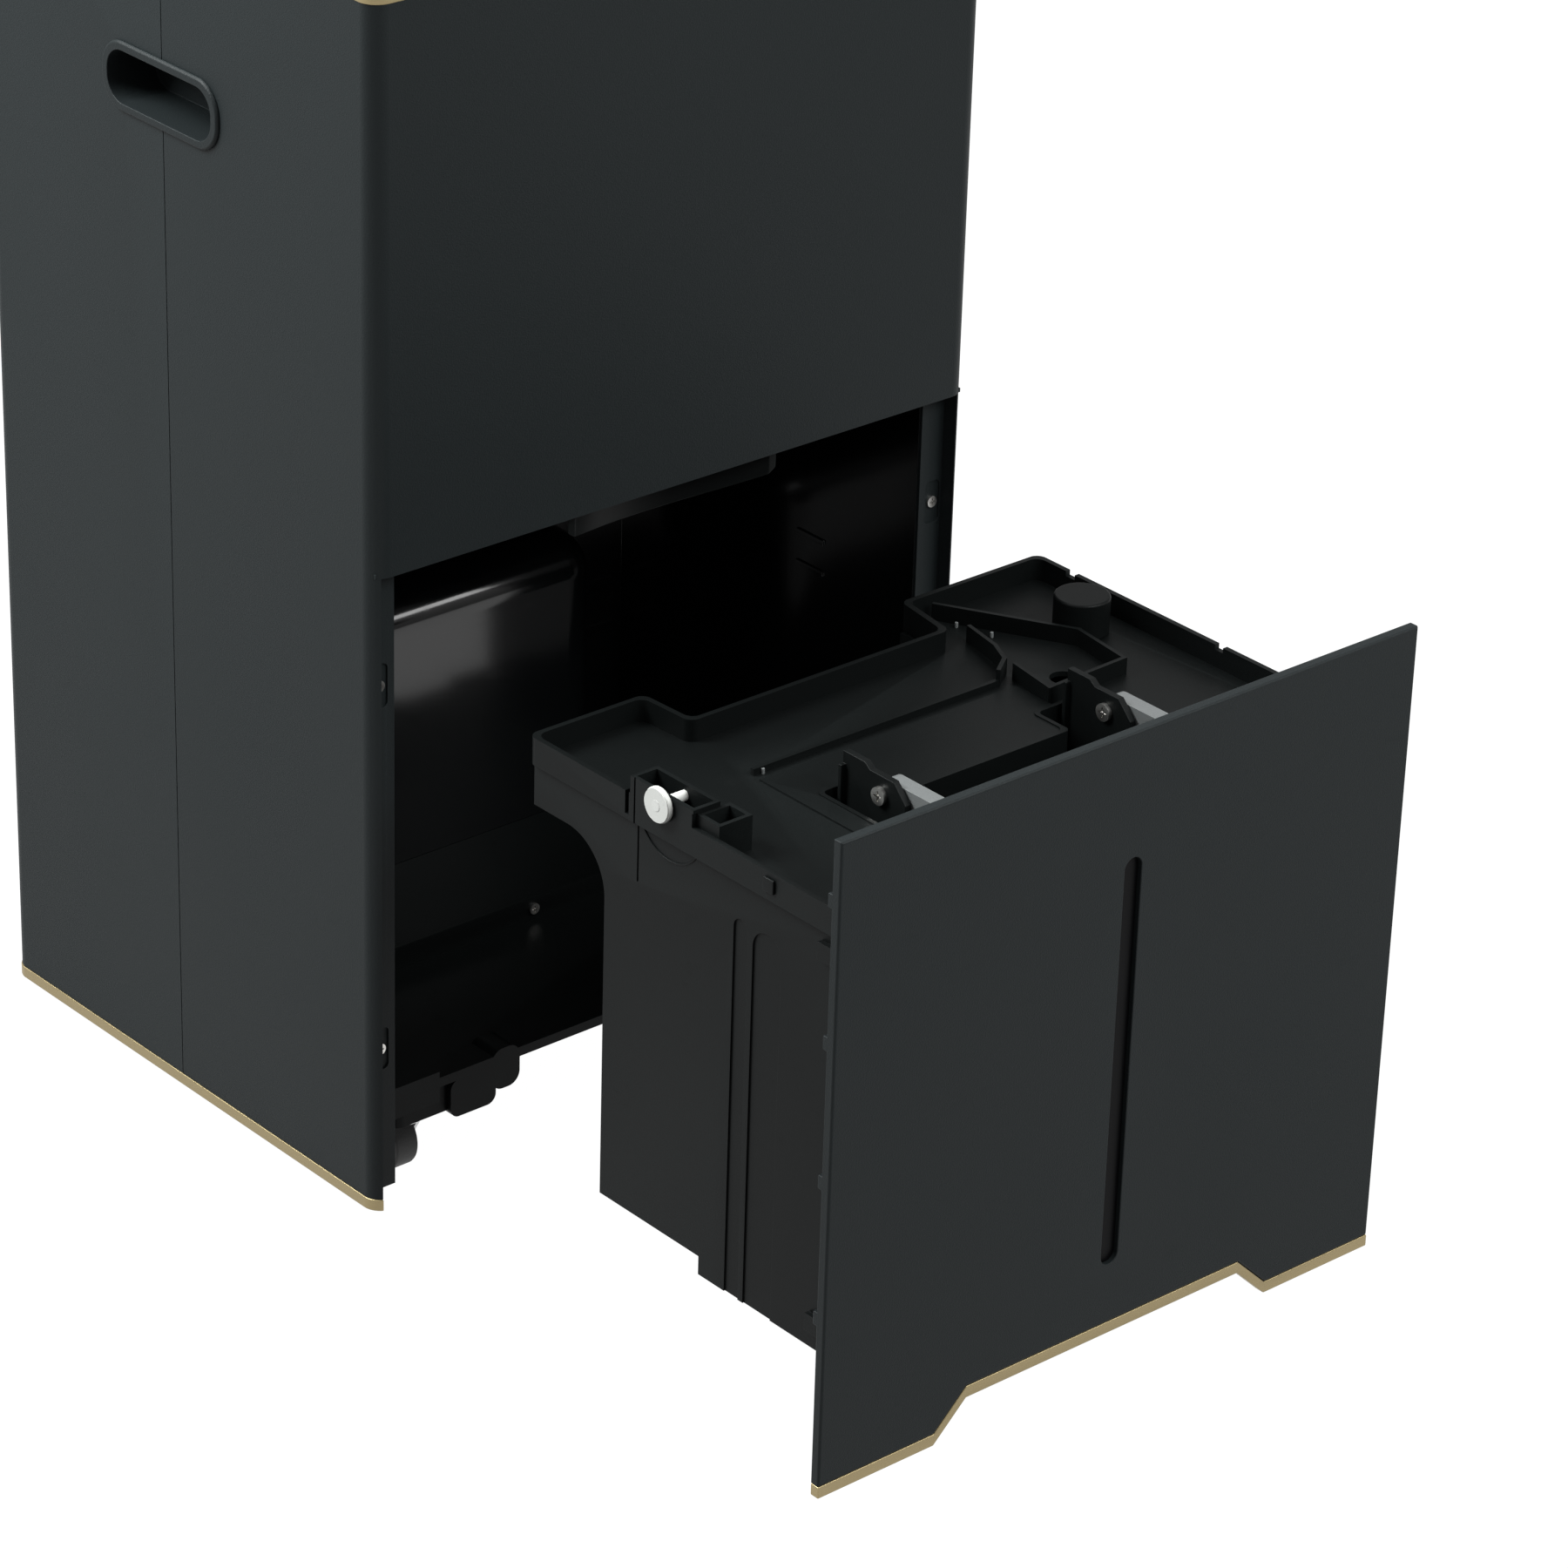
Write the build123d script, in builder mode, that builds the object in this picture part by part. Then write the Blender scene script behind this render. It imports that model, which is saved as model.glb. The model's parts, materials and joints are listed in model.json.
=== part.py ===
"""Free-standing dehumidifier with its water tank drawn out. Millimetres, +Z up, origin on the floor."""

import os
from math import atan2, degrees, hypot

from build123d import *

os.makedirs("parts", exist_ok=True)

# Cabinet
WIDTH = 420.0
DEPTH = 355.0
FRONT = -DEPTH / 2
REAR = DEPTH / 2
SIDE = WIDTH / 2
WALL = 2.5
CORNER = 11.0
TRIM_BOTTOM = 8.0
TRIM_HEIGHT = 7.0
SHELL_BOTTOM = TRIM_BOTTOM + TRIM_HEIGHT
SHELL_TOP = 712.0
DECK_BOTTOM = SHELL_TOP + TRIM_HEIGHT
DECK_TOP = 730.0
SEAM = FRONT + 184.0
SEAM_GAP = 0.6

# Tank bay
MOUTH_HALF = 204.4
MOUTH_TOP = 395.0
REBATE = 12.0
BAY_HALF = 188.0
BAY_FRONT = FRONT + REBATE + WALL
BAY_BACK = FRONT + 277.0
BAY_TOP = 398.0
PAN_TOP = 69.5
PAN_BOTTOM = 63.5
LEDGE_TOP = 84.0
LEDGE_FRONT = FRONT + 128.0
BULGE_FRONT = FRONT + 210.0
BULGE_LEFT = -171.0
BULGE_RIGHT = 118.0
BULGE_TOP = 255.0
BULGE_CORNER = 28.0
BULGE_EDGE = 24.0

# Tank, drawn out of the bay by its full travel
TRAVEL = 363.0
PANEL_FRONT = FRONT - TRAVEL
PANEL_THICK = 6.0
PANEL_HALF = 201.5
PANEL_TOP = 388.7
TANK_HALF = 180.0
TANK_TOP = 320.0
TANK_WALL = 2.5
LID_RIM_TOP = 336.0
LID_DECK = TANK_TOP + 3.0
LID_OVERHANG = 3.0
PIVOT_DEPTH = 107.0
PIVOT_HEIGHT = 333.0
BAIL_REACH = 80.0
ROLLER_DEPTH = 158.0
ROLLER_HEIGHT = 340.0
CAP_X = 153.0
CAP_DEPTH = 203.0
CAP_RADIUS = 15.8
CAP_TOP = 345.0
SPOUT_X = 105.0
SPOUT_DEPTH = 165.0

# Castors
CASTOR_X = 163.0
CASTOR_Y = 137.5
WHEEL_RADIUS = 18.0
WHEEL_WIDTH = 15.0
TRAIL = 11.0
STEM_RADIUS = 4.0
AXLE_RADIUS = 2.5
RUN = 0.06

# Air path
GRIP_Y = FRONT + 185.0
GRIP_Z = 611.0
INTAKE_HALF = 150.0
INTAKE_LOW = 430.0
INTAKE_HIGH = 690.0
OUTLET_HALF = 140.0
OUTLET_FRONT = 0.0
OUTLET_REAR = 70.0
FAN_Z = 560.0
FAN_RADIUS = 86.0
SCROLL_RADIUS = 108.0
FLAP_PIVOT_Y = 65.0
FLAP_PIVOT_Z = 727.0


def keep(builder, name):
    builder.part.label = name
    export_step(builder.part, "parts/" + name + ".step")


def block(low, high, mode=Mode.ADD):
    size = [abs(b - a) for a, b in zip(low, high)]
    centre = [(a + b) / 2 for a, b in zip(low, high)]
    with Locations(tuple(centre)):
        Box(*size, mode=mode)


def facing_rear(x, y, z):
    return Plane(origin=(x, y, z), x_dir=(-1, 0, 0), z_dir=(0, 1, 0))


def facing_front(x, y, z):
    return Plane(origin=(x, y, z), x_dir=(1, 0, 0), z_dir=(0, -1, 0))


def facing_side(x, y, z, side):
    return Plane(origin=(x, y, z), x_dir=(0, side, 0), z_dir=(side, 0, 0))


def rod(plane, radius, length, mode=Mode.ADD):
    with BuildSketch(plane) as disc:
        Circle(radius)
    extrude(disc.sketch, amount=length, mode=mode)


def from_front(depth):
    return PANEL_FRONT + depth


# ---------------------------------------------------------------- cabinet skin


def wall_band(y_low, y_high, low, high, outer=0.0, thick=WALL):
    """A stretch of the cabinet's rounded rectangular wall between two depths."""
    with BuildSketch(Plane.XY.offset(low)) as ring:
        RectangleRounded(WIDTH + 2 * outer, DEPTH + 2 * outer, CORNER + outer)
        inner = CORNER + outer - thick
        RectangleRounded(WIDTH + 2 * (outer - thick), DEPTH + 2 * (outer - thick), inner, mode=Mode.SUBTRACT)
        with Locations((0, (y_low + y_high) / 2)):
            Rectangle(WIDTH + 20, y_high - y_low, mode=Mode.INTERSECT)
    extrude(ring.sketch, amount=high - low)


def grip_cutout():
    with BuildSketch(facing_side(-SIDE - 5, GRIP_Y, GRIP_Z, 1)) as hole:
        RectangleRounded(99.6, 35.6, 16.3)
    extrude(hole.sketch, amount=WIDTH + 10, mode=Mode.SUBTRACT)


SCREW_SPOTS = [(side * 198.0, z) for side in (-1, 1) for z in (104.0, 326.0)]

with BuildPart() as front_shell:
    wall_band(FRONT - 1, SEAM - SEAM_GAP / 2, SHELL_BOTTOM, SHELL_TOP)
    block((-MOUTH_HALF, FRONT - 1, 0), (MOUTH_HALF, FRONT + REBATE, MOUTH_TOP), Mode.SUBTRACT)
    for side in (-1, 1):
        with BuildSketch(Plane.XY.offset(SHELL_BOTTOM)):
            RectangleRounded(WIDTH, DEPTH, CORNER)
            with Locations((side * (MOUTH_HALF + SIDE) / 2, FRONT + REBATE / 2)):
                Rectangle(SIDE - MOUTH_HALF, REBATE, mode=Mode.INTERSECT)
        extrude(amount=MOUTH_TOP + WALL - SHELL_BOTTOM)
        inner, outer = sorted((side * BAY_HALF, side * (SIDE - WALL)))
        block((inner, FRONT + REBATE, SHELL_BOTTOM), (outer, BAY_FRONT, MOUTH_TOP + WALL))
        inner, outer = sorted((side * 78, side * (SIDE - WALL)))
        block((inner, FRONT + WALL, MOUTH_TOP), (outer, BAY_FRONT, MOUTH_TOP + WALL))
    for x, z in SCREW_SPOTS:
        with BuildSketch(facing_rear(x, FRONT + REBATE, z)):
            RectangleRounded(11, 26, 3)
        extrude(amount=1.2, mode=Mode.SUBTRACT)
        rod(facing_rear(x, FRONT + REBATE, z), 1.8, 5, Mode.SUBTRACT)
    grip_cutout()
keep(front_shell, "front_shell")

INLET_X = 140.0
INLET_Z = 130.0
SPIGOT_X = -120.0
SPIGOT_Z = 380.0
SPIGOT_RADIUS = 8.0
SPIGOT_LENGTH = 18.0

with BuildPart() as rear_shell:
    wall_band(SEAM + SEAM_GAP / 2, REAR + 1, SHELL_BOTTOM, SHELL_TOP)
    block((-INTAKE_HALF, REAR - 5, INTAKE_LOW), (INTAKE_HALF, REAR + 5, INTAKE_HIGH), Mode.SUBTRACT)
    block((INLET_X - 15, REAR - 5, INLET_Z - 11), (INLET_X + 15, REAR + 5, INLET_Z + 11), Mode.SUBTRACT)
    rod(facing_rear(SPIGOT_X, REAR - 5, SPIGOT_Z), 10.2, 10, Mode.SUBTRACT)
    for side in (-1, 1):
        for z in (60.0, 220.0, 400.0, 700.0):
            rod(facing_rear(side * 185, REAR - 5, z), 1.9, 10, Mode.SUBTRACT)
    for i in range(9):
        x = -60 + 15 * i
        with BuildSketch(facing_rear(x, REAR - 5, 190)):
            SlotOverall(60, 4, rotation=90)
        extrude(amount=10, mode=Mode.SUBTRACT)
    grip_cutout()
keep(rear_shell, "rear_shell")

with BuildPart() as base_trim:
    wall_band(FRONT - 1, REAR + 1, TRIM_BOTTOM, SHELL_BOTTOM, 0.6, 3.1)
    block((-MOUTH_HALF, FRONT - 2, 0), (MOUTH_HALF, FRONT + 20, 50), Mode.SUBTRACT)
keep(base_trim, "base_trim")

with BuildPart() as top_trim:
    wall_band(FRONT - 1, REAR + 1, SHELL_TOP, DECK_BOTTOM, 0.6, 5.6)
keep(top_trim, "top_trim")

FASCIA_HALF = 110.0
FASCIA_FRONT = -150.0
FASCIA_REAR = -95.0
FASCIA_LOW = 728.2

with BuildPart() as top_deck:
    with BuildSketch(Plane.XY.offset(DECK_BOTTOM)):
        RectangleRounded(WIDTH, DEPTH, CORNER)
    extrude(amount=DECK_TOP - DECK_BOTTOM)
    fillet(top_deck.faces().sort_by(Axis.Z)[-1].edges(), 4)
    block((-205, FRONT + 5, 718), (205, OUTLET_FRONT - 10, 727), Mode.SUBTRACT)
    block((-OUTLET_HALF, OUTLET_FRONT, 700), (OUTLET_HALF, OUTLET_REAR, 740), Mode.SUBTRACT)
    block((-205, OUTLET_REAR + 10, 718), (205, REAR - 5, 727), Mode.SUBTRACT)
    with BuildSketch(Plane.XY.offset(FASCIA_LOW)):
        with Locations((0, (FASCIA_FRONT + FASCIA_REAR) / 2)):
            RectangleRounded(2 * FASCIA_HALF, FASCIA_REAR - FASCIA_FRONT, 6)
    extrude(amount=5, mode=Mode.SUBTRACT)
    rod(facing_side(-OUTLET_HALF - 4, FLAP_PIVOT_Y, FLAP_PIVOT_Z, 1), 1.5 + RUN, 2 * OUTLET_HALF + 8, Mode.SUBTRACT)
keep(top_deck, "top_deck")

with BuildPart() as control_fascia:
    with BuildSketch(Plane.XY.offset(FASCIA_LOW)):
        with Locations((0, (FASCIA_FRONT + FASCIA_REAR) / 2)):
            RectangleRounded(2 * FASCIA_HALF - 0.4, FASCIA_REAR - FASCIA_FRONT - 0.4, 5.8)
    extrude(amount=DECK_TOP - FASCIA_LOW - 0.2)
    with BuildSketch(Plane.XY.offset(DECK_TOP - 0.5)):
        with Locations((0, (FASCIA_FRONT + FASCIA_REAR) / 2)):
            RectangleRounded(46, 24, 3)
        for x in (-88, -60, 60, 88):
            with Locations((x, (FASCIA_FRONT + FASCIA_REAR) / 2)):
                Circle(9)
                Circle(8, mode=Mode.SUBTRACT)
    extrude(amount=1, mode=Mode.SUBTRACT)
keep(control_fascia, "control_fascia")

with BuildPart() as outlet_grille:
    block((-OUTLET_HALF, OUTLET_FRONT, 719.5), (OUTLET_HALF, OUTLET_REAR, 722.5))
    with BuildSketch(Plane.XY.offset(719)):
        with Locations((0, (OUTLET_FRONT + OUTLET_REAR) / 2)):
            with GridLocations(11, 31, 24, 2):
                SlotOverall(27, 7, rotation=90)
    extrude(amount=5, mode=Mode.SUBTRACT)
keep(outlet_grille, "outlet_grille")

with BuildPart() as outlet_flap:
    block((-OUTLET_HALF + 2, OUTLET_FRONT + 2, 725.5), (OUTLET_HALF - 2, FLAP_PIVOT_Y + 3, 729.5))
    fillet(outlet_flap.edges().filter_by(Axis.Z), 4)
    chamfer(outlet_flap.faces().sort_by(Axis.Z)[-1].edges(), 0.8)
    for y in (10, 22, 34, 46):
        block((-120, y, 725), (120, y + 6, 726.7), Mode.SUBTRACT)
    rod(facing_side(-OUTLET_HALF - 2, FLAP_PIVOT_Y, FLAP_PIVOT_Z, 1), 1.5, 2 * OUTLET_HALF + 4)
keep(outlet_flap, "outlet_flap")

for side, name in ((-1, "grip_cup_left"), (1, "grip_cup_right")):
    with BuildPart() as grip_cup:
        with BuildSketch(facing_side(side * 178, GRIP_Y, GRIP_Z, side)):
            RectangleRounded(99, 35, 16)
        extrude(amount=SIDE - 178)
        with BuildSketch(facing_side(side * SIDE, GRIP_Y, GRIP_Z, side)):
            RectangleRounded(105, 40, 18)
        extrude(amount=2.2)
        chamfer(grip_cup.faces().sort_by(Axis.X)[-1 if side > 0 else 0].edges(), 1.2)
        with BuildSketch(facing_side(side * 180.5, GRIP_Y, GRIP_Z, side)):
            RectangleRounded(94, 30, 13.5)
        extrude(amount=60, mode=Mode.SUBTRACT)
    keep(grip_cup, name)

# ---------------------------------------------------------------- tank bay


def bulge(inset, back, low):
    """Housing over the compressor, rounded at its front corners and along its top."""
    left = BULGE_LEFT - WALL + inset
    right = BULGE_RIGHT + WALL - inset
    front = BULGE_FRONT + inset
    with BuildPart() as housing:
        block((left, front, low), (right, back, BULGE_TOP - inset))
        uprights = housing.edges().filter_by(Axis.Z).sort_by(Axis.Y)[:2]
        fillet(uprights, BULGE_CORNER - inset)
        top = housing.faces().sort_by(Axis.Z)[-1].edges()
        fillet([e for e in top if e.center().Y < back - 1], BULGE_EDGE - inset)
    return housing.part


bulge_outside = bulge(0, BAY_BACK + WALL, PAN_TOP)
bulge_inside = bulge(WALL, BAY_BACK + 3 * WALL, PAN_TOP - 5)

with BuildPart() as tank_bay_liner:
    block((-BAY_HALF - WALL, BAY_FRONT, PAN_TOP), (BAY_HALF + WALL, BAY_BACK + WALL, BAY_TOP + WALL))
    block((-BAY_HALF, BAY_FRONT - 5, 0), (BAY_HALF, BAY_BACK, BAY_TOP), Mode.SUBTRACT)
    add(bulge_outside)
    add(bulge_inside, mode=Mode.SUBTRACT)
    for z in (150, 180, 300, 330):
        block((BULGE_RIGHT + 12, BAY_BACK - 1.5, z), (BAY_HALF - 8, BAY_BACK + 0.5, z + 6))
    for z in (252, 272):
        block((BAY_HALF - 1.2, -86, z), (BAY_HALF + 0.5, -62, z + 3))
    rod(Plane(origin=(SPOUT_X, FRONT + SPOUT_DEPTH, BAY_TOP - 1)), 9.4, 5, Mode.SUBTRACT)
    block((140, -126, BAY_TOP - 1), (152, -110, BAY_TOP + 5), Mode.SUBTRACT)
keep(tank_bay_liner, "tank_bay_liner")

with BuildPart() as scoop_lip:
    with BuildSketch(Plane.XY.offset(366)):
        with BuildLine():
            ThreePointArc((-74, FRONT + 7), (0, FRONT + 36), (74, FRONT + 7))
            Line((74, FRONT + 7), (-74, FRONT + 7))
        make_face()
    extrude(amount=BAY_TOP - 366)
    with BuildSketch(Plane.XY.offset(360)):
        with BuildLine():
            ThreePointArc((-70, FRONT + 6), (0, FRONT + 33), (70, FRONT + 6))
            Line((70, FRONT + 6), (-70, FRONT + 6))
        make_face()
    extrude(amount=BAY_TOP - WALL - 360, mode=Mode.SUBTRACT)
    with BuildSketch(facing_rear(0, FRONT, BAY_TOP)):
        Ellipse(84, 32)
    extrude(amount=60, mode=Mode.INTERSECT)
    block((-90, BAY_FRONT, BAY_TOP - 0.001), (90, BAY_FRONT + 40, BAY_TOP + 40), Mode.SUBTRACT)
keep(scoop_lip, "scoop_lip")

with BuildPart() as base_pan:
    block((-SIDE + WALL, BAY_FRONT, PAN_BOTTOM), (SIDE - WALL, REAR - WALL, PAN_TOP))
    with BuildSketch(Plane.XY.offset(PAN_BOTTOM)):
        with Locations((0, -1.25)):
            RectangleRounded(WIDTH - 2 * WALL, DEPTH - 2 * WALL, CORNER - WALL)
    extrude(amount=PAN_TOP - PAN_BOTTOM, mode=Mode.INTERSECT)
    block((-187.7, LEDGE_FRONT, PAN_TOP), (187.7, BULGE_FRONT - 0.3, LEDGE_TOP))
    block((-185, LEDGE_FRONT + 2.5, 60), (185, BULGE_FRONT - 3, LEDGE_TOP - 2.5), Mode.SUBTRACT)
    for side in (-1, 1):
        for end in (-1, 1):
            with BuildSketch(Plane.XY.offset(44.3)):
                with Locations((side * CASTOR_X, end * CASTOR_Y)):
                    RectangleRounded(44, 44, 8)
            extrude(amount=PAN_BOTTOM - 44.3)
            spot = Plane(origin=(side * CASTOR_X, end * CASTOR_Y, 44))
            rod(spot, STEM_RADIUS + RUN, 22.3, Mode.SUBTRACT)
    for side in (-1, 1):
        with BuildSketch(facing_rear(0, BAY_FRONT, 0)) as trough:
            with Locations((side * 131, 52)):
                RectangleRounded(32, 24, 6)
            with Locations((side * 108, 60)):
                RectangleRounded(20, 26, 8)
        extrude(trough.sketch, amount=20)
        inner, outer = sorted((side * 155, side * 187.7))
        block((inner, BAY_FRONT, 54), (outer, BAY_FRONT + 3.4, 73.5))
    rod(facing_rear(2, LEDGE_FRONT - 1, 77), 1.9, 6, Mode.SUBTRACT)
keep(base_pan, "base_pan")

# ---------------------------------------------------------------- castors

CORNERS = [("front_left", -1, -1), ("front_right", 1, -1), ("rear_left", -1, 1), ("rear_right", 1, 1)]

for corner, side, end in CORNERS:
    x = side * CASTOR_X
    y = end * CASTOR_Y
    hub_y = y + TRAIL
    with BuildPart() as castor_fork:
        rod(Plane(origin=(x, y, 38)), 14, 4)
        rod(Plane(origin=(x, y, 42)), STEM_RADIUS, 23)
        for cheek in (-1, 1):
            with BuildSketch(Plane.YZ.offset(x + cheek * 10.25 - 1.25)):
                with BuildLine():
                    Polyline((y - 8, 38.5), (hub_y - 5, 15), (hub_y - 3, 12.5), (hub_y + 4, 12.5))
                    Polyline((hub_y + 4, 12.5), (hub_y + 6, 16), (y + 12, 38.5), (y - 8, 38.5))
                make_face()
            extrude(amount=2.5)
        rod(facing_side(x - 10, hub_y, WHEEL_RADIUS, 1), AXLE_RADIUS, 20)
    keep(castor_fork, "castor_fork_" + corner)
    with BuildPart() as castor_wheel:
        face = Plane(origin=(x - WHEEL_WIDTH / 2, hub_y, WHEEL_RADIUS), x_dir=(0, 0, -1), z_dir=(1, 0, 0))
        rod(face, WHEEL_RADIUS, WHEEL_WIDTH)
        for face in (-1, 1):
            with BuildSketch(facing_side(x + face * WHEEL_WIDTH / 2, hub_y, WHEEL_RADIUS, face)):
                Circle(13.5)
                Circle(5.5, mode=Mode.SUBTRACT)
            extrude(amount=-2.5, mode=Mode.SUBTRACT)
        rod(facing_side(x - WHEEL_WIDTH, hub_y, WHEEL_RADIUS, 1), AXLE_RADIUS + RUN, 2 * WHEEL_WIDTH, Mode.SUBTRACT)
    keep(castor_wheel, "castor_wheel_" + corner)

# ---------------------------------------------------------------- refrigeration and air path

COMPRESSOR_X = -100.0
COMPRESSOR_Y = 106.0

with BuildPart() as compressor:
    rod(Plane(origin=(COMPRESSOR_X, COMPRESSOR_Y, 84)), 50, 144)
    fillet(compressor.edges().filter_by(GeomType.CIRCLE), 16)
    with BuildSketch(Plane(origin=(COMPRESSOR_X, COMPRESSOR_Y, 78))):
        RegularPolygon(64, 3)
        Circle(30, mode=Mode.ADD)
    extrude(amount=4)
    rod(Plane(origin=(COMPRESSOR_X, COMPRESSOR_Y, 80)), 30, 10)
keep(compressor, "compressor")

with BuildPart() as compressor_mounts:
    with Locations((COMPRESSOR_X, COMPRESSOR_Y, PAN_TOP + 4.25)):
        with PolarLocations(46, 3):
            Cylinder(8, 8.5)
keep(compressor_mounts, "compressor_mounts")


def coil(y_low, y_high, fins):
    half = 130.0
    pitch = 2 * half / fins
    for i in range(fins + 1):
        x = -half + i * pitch
        block((x - 0.5, y_low, 435), (x + 0.5, y_high, 675))
    for i in range(8):
        z = 450 + 30 * i
        rod(facing_side(-half - 3, (y_low + y_high) / 2, z, 1), 4, 2 * half + 6)
    for i in range(7):
        side = 1 if i % 2 else -1
        x = side * (half + 3)
        inner, outer = sorted((x, x + side * 7))
        block((inner, (y_low + y_high) / 2 - 4, 446 + 30 * i), (outer, (y_low + y_high) / 2 + 4, 484 + 30 * i))


with BuildPart() as evaporator:
    coil(118, 142, 26)
keep(evaporator, "evaporator")

with BuildPart() as condenser:
    coil(84, 108, 26)
keep(condenser, "condenser")

with BuildPart() as refrigerant_tubes:
    with BuildLine() as discharge:
        FilletPolyline((-100, 130, 228), (-100, 130, 385), (-160, 130, 385), (-160, 130, 560), (-140, 130, 560), radius=9)
    with BuildSketch(Plane(origin=discharge.line @ 0, z_dir=discharge.line % 0)):
        Circle(3.5)
    sweep(path=discharge.line)
    with BuildLine() as suction:
        FilletPolyline((-76, 116, 228), (-76, 116, 345), (-172, 116, 345), (-172, 96, 600), (-140, 96, 600), radius=9)
    with BuildSketch(Plane(origin=suction.line @ 0, z_dir=suction.line % 0)):
        Circle(3.5)
    sweep(path=suction.line)
keep(refrigerant_tubes, "refrigerant_tubes")

with BuildPart() as accumulator:
    rod(Plane(origin=(0, 135, 100)), 20, 90)
    fillet(accumulator.edges().filter_by(GeomType.CIRCLE), 8)
    block((-6, 125, PAN_TOP), (6, 145, 104))
keep(accumulator, "accumulator")

SPOUT_Y = FRONT + SPOUT_DEPTH

with BuildPart() as drip_tray:
    block((-142, 80, 412), (142, 150, 428))
    block((SPOUT_X - 18, SPOUT_Y - 18, 412), (SPOUT_X + 18, 85, 428))
    block((-139.5, 82.5, 414.5), (139.5, 147.5, 440), Mode.SUBTRACT)
    block((SPOUT_X - 15.5, SPOUT_Y - 15.5, 414.5), (SPOUT_X + 15.5, 85, 440), Mode.SUBTRACT)
    rod(Plane(origin=(SPOUT_X, SPOUT_Y, 388)), 9, 25)
    rod(Plane(origin=(SPOUT_X, SPOUT_Y, 380)), 6.5, 40, Mode.SUBTRACT)
    for x in (-120, 0, 120):
        block((x - 8, 84, BAY_TOP + WALL), (x + 8, 98, 413))
keep(drip_tray, "drip_tray")

FAN_FRONT = 4.0
FAN_REAR = 66.0

with BuildPart() as fan_scroll:
    rod(facing_rear(0, FAN_FRONT, FAN_Z), SCROLL_RADIUS, FAN_REAR - FAN_FRONT)
    block((0, FAN_FRONT, FAN_Z), (SCROLL_RADIUS, FAN_REAR, 719))
    rod(facing_rear(0, FAN_FRONT + 2.5, FAN_Z), SCROLL_RADIUS - 2.5, FAN_REAR - FAN_FRONT - 5, Mode.SUBTRACT)
    block((2.5, FAN_FRONT + 2.5, FAN_Z), (SCROLL_RADIUS - 2.5, FAN_REAR - 2.5, 730), Mode.SUBTRACT)
    rod(facing_rear(0, FAN_REAR - 5, FAN_Z), 74, 10, Mode.SUBTRACT)
    rod(facing_rear(0, 0, FAN_Z), 12, 10, Mode.SUBTRACT)
    for side in (-1, 1):
        block((side * 45 - 8, FAN_FRONT, BAY_TOP + WALL), (side * 45 + 8, FAN_FRONT + 20, 472))
    rod(facing_rear(0, FAN_FRONT + 2.5, FAN_Z), SCROLL_RADIUS - 2.5, FAN_REAR - FAN_FRONT - 5, Mode.SUBTRACT)
keep(fan_scroll, "fan_scroll")

with BuildPart() as fan_wheel:
    rod(facing_rear(0, 14, FAN_Z), FAN_RADIUS, 2)
    rod(facing_rear(0, 14, FAN_Z), 14, 26)
    with BuildSketch(facing_rear(0, 16, FAN_Z)):
        with PolarLocations(FAN_RADIUS - 8, 32, rotate=True):
            Rectangle(13, 1.6, rotation=35)
    extrude(amount=38)
    with BuildSketch(facing_rear(0, 54, FAN_Z)):
        Circle(FAN_RADIUS)
        Circle(FAN_RADIUS - 15, mode=Mode.SUBTRACT)
    extrude(amount=2)
    rod(facing_rear(0, 10, FAN_Z), 4 + RUN, 40, Mode.SUBTRACT)
keep(fan_wheel, "fan_wheel")

with BuildPart() as fan_motor:
    rod(facing_rear(0, -46, FAN_Z), 34, 50)
    fillet(fan_motor.edges().filter_by(GeomType.CIRCLE), 3)
    rod(facing_rear(0, 2, FAN_Z), 4, 42)
keep(fan_motor, "fan_motor")

with BuildPart() as control_board:
    block((-95, -152, 706), (95, -93, 708))
    for x in (-88, 88):
        for y in (-146, -99):
            rod(Plane(origin=(x, y, 707)), 3, 20)
    block((-40, -140, 692), (-10, -110, 707))
    rod(Plane(origin=(40, -125, 690)), 9, 17)
keep(control_board, "control_board")

with BuildPart() as run_capacitor:
    rod(Plane(origin=(160, 60, BAY_TOP + WALL)), 18, 62)
    chamfer(run_capacitor.edges().filter_by(GeomType.CIRCLE), 2)
keep(run_capacitor, "run_capacitor")

with BuildPart() as tank_switch:
    block((140.3, -125.7, 386), (151.7, -110.3, BAY_TOP + 6))
    block((142, -140, 384), (150, -112, 386.5))
keep(tank_switch, "tank_switch")

with BuildPart() as drain_spigot:
    rod(facing_rear(SPIGOT_X, REAR - 14, SPIGOT_Z), 10, 14.5)
    rod(facing_rear(SPIGOT_X, REAR, SPIGOT_Z), 13, 2)
    rod(facing_rear(SPIGOT_X, REAR, SPIGOT_Z), SPIGOT_RADIUS, 2 + SPIGOT_LENGTH)
    rod(facing_rear(SPIGOT_X, REAR - 20, SPIGOT_Z), 5, 60, Mode.SUBTRACT)
keep(drain_spigot, "drain_spigot")

with BuildPart() as power_inlet:
    block((INLET_X - 21, REAR, INLET_Z - 15), (INLET_X + 21, REAR + 2.5, INLET_Z + 15))
    block((INLET_X - 14.8, REAR - 24, INLET_Z - 10.8), (INLET_X + 14.8, REAR, INLET_Z + 10.8))
    with BuildSketch(facing_rear(INLET_X, REAR - 17, INLET_Z)):
        RectangleRounded(24, 16.5, 3)
    extrude(amount=30, mode=Mode.SUBTRACT)
    for x, z in ((-7, 2), (0, 5), (7, 2)):
        block((INLET_X + x - 1, REAR - 18, INLET_Z + z - 2), (INLET_X + x + 1, REAR - 2, INLET_Z + z + 2))
keep(power_inlet, "power_inlet")


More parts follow.
